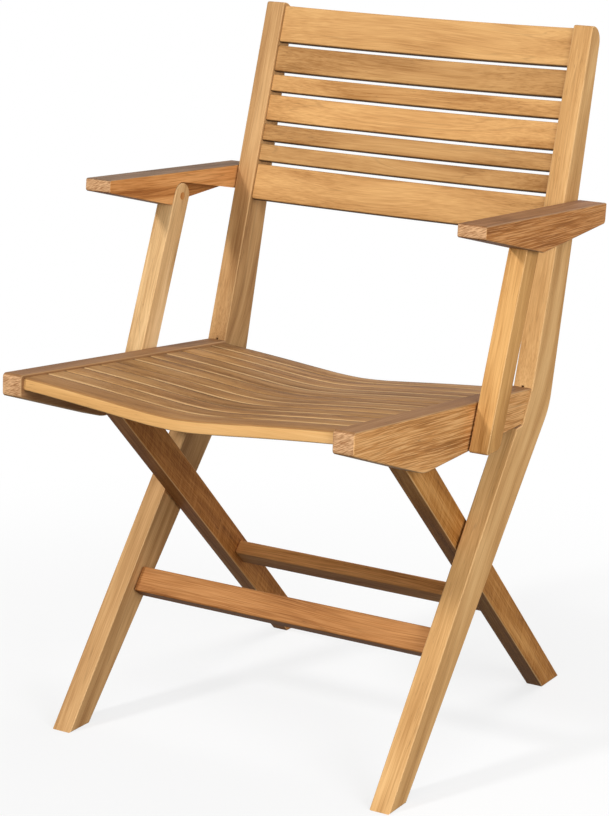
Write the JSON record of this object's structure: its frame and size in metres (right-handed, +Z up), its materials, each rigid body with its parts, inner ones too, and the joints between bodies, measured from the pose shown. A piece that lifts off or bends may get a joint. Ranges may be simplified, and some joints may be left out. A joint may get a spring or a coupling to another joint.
{
  "type": "folding armchair",
  "caption": "Folding slatted wooden armchair with kinked long posts, crossed rear legs, dished slat seat, curved slat back and armrests on struts that fold with the seat.",
  "frame": {"origin": "on the floor, under the centre of the bounding box", "axes": "+Z up, -Y is the front that a sitter faces, +X is the sitter's left"},
  "size_m": [0.556, 0.6464, 0.88],
  "materials": {
    "teak_light": "light golden, sanded and unvarnished",
    "teak_brown": "warm brown with dark grain, sanded",
    "teak_seat": "greyish brown, sanded",
    "teak_dark": "darker brown, sanded",
    "brass": "plain"
  },
  "bodies": {
    "frame": {"long_post_left": "teak_light", "long_post_right": "teak_light", "back_slat_1": "teak_light", "back_slat_2": "teak_light", "back_slat_3": "teak_light", "back_slat_4": "teak_light", "back_slat_5": "teak_light", "back_slat_6": "teak_light", "back_slat_7": "teak_light", "front_stretcher": "teak_brown", "hinge_pins": "brass", "hinge_plugs": "teak_light", "leg_pivot_pins": "brass", "leg_washers": "brass", "arm_pivot_pins": "brass", "arm_washers": "brass"},
    "seat": {"seat_rail_left": "teak_brown", "seat_rail_right": "teak_brown", "seat_slat_01": "teak_seat", "seat_slat_02": "teak_seat", "seat_slat_03": "teak_seat", "seat_slat_04": "teak_seat", "seat_slat_05": "teak_seat", "seat_slat_06": "teak_seat", "seat_slat_07": "teak_seat", "seat_slat_08": "teak_seat", "seat_slat_09": "teak_seat", "seat_slat_10": "teak_seat", "seat_slat_11": "teak_seat", "seat_slat_12": "teak_seat", "hinge_lugs": "brass", "lug_pins": "brass", "rest_pins": "brass", "support_pins": "brass", "support_washers": "brass"},
    "rear_legs": {"rear_leg_left": "teak_dark", "rear_leg_right": "teak_dark", "rear_stretcher": "teak_brown"},
    "armrest_left_body": {"armrest_left": "teak_brown"},
    "armrest_right_body": {"armrest_right": "teak_brown"},
    "support_left_body": {"arm_support_left": "teak_light", "arm_tip_pin_left": "brass", "arm_tip_plug_left": "teak_brown"},
    "support_right_body": {"arm_support_right": "teak_light", "arm_tip_pin_right": "brass", "arm_tip_plug_right": "teak_brown"}
  },
  "joints": [
    {"name": "seat_fold", "type": "hinge", "parent": "frame", "child": "seat", "pos_m": [0, 0.1451, 0.4484], "axis": [-1, 0, 0], "range_deg": [0, 100]},
    {"name": "leg_fold", "type": "hinge", "parent": "frame", "child": "rear_legs", "pos_m": [0, 0.0233, 0.261], "axis": [-1, 0, 0], "range_deg": [0, 65]},
    {"name": "armrest_left_fold", "type": "hinge", "parent": "frame", "child": "armrest_left_body", "pos_m": [0, 0.2201, 0.649], "axis": [-1, 0, 0], "range_deg": [0, 100]},
    {"name": "armrest_right_fold", "type": "hinge", "parent": "frame", "child": "armrest_right_body", "pos_m": [0, 0.2201, 0.649], "axis": [-1, 0, 0], "range_deg": [0, 100]},
    {"name": "support_left_fold", "type": "hinge", "parent": "armrest_left_body", "child": "support_left_body", "pos_m": [0, 0.0632, 0.639], "axis": [-1, 0, 0], "range_deg": [-100, 0]},
    {"name": "support_right_fold", "type": "hinge", "parent": "armrest_right_body", "child": "support_right_body", "pos_m": [0, 0.0632, 0.639], "axis": [-1, 0, 0], "range_deg": [-100, 0]}
  ],
  "couplings": [
    {"joint": "leg_fold", "follows": "seat_fold", "ratio": 0.65},
    {"joint": "armrest_left_fold", "follows": "seat_fold", "ratio": 1},
    {"joint": "armrest_right_fold", "follows": "seat_fold", "ratio": 1},
    {"joint": "support_left_fold", "follows": "seat_fold", "ratio": -1},
    {"joint": "support_right_fold", "follows": "seat_fold", "ratio": -1}
  ]
}
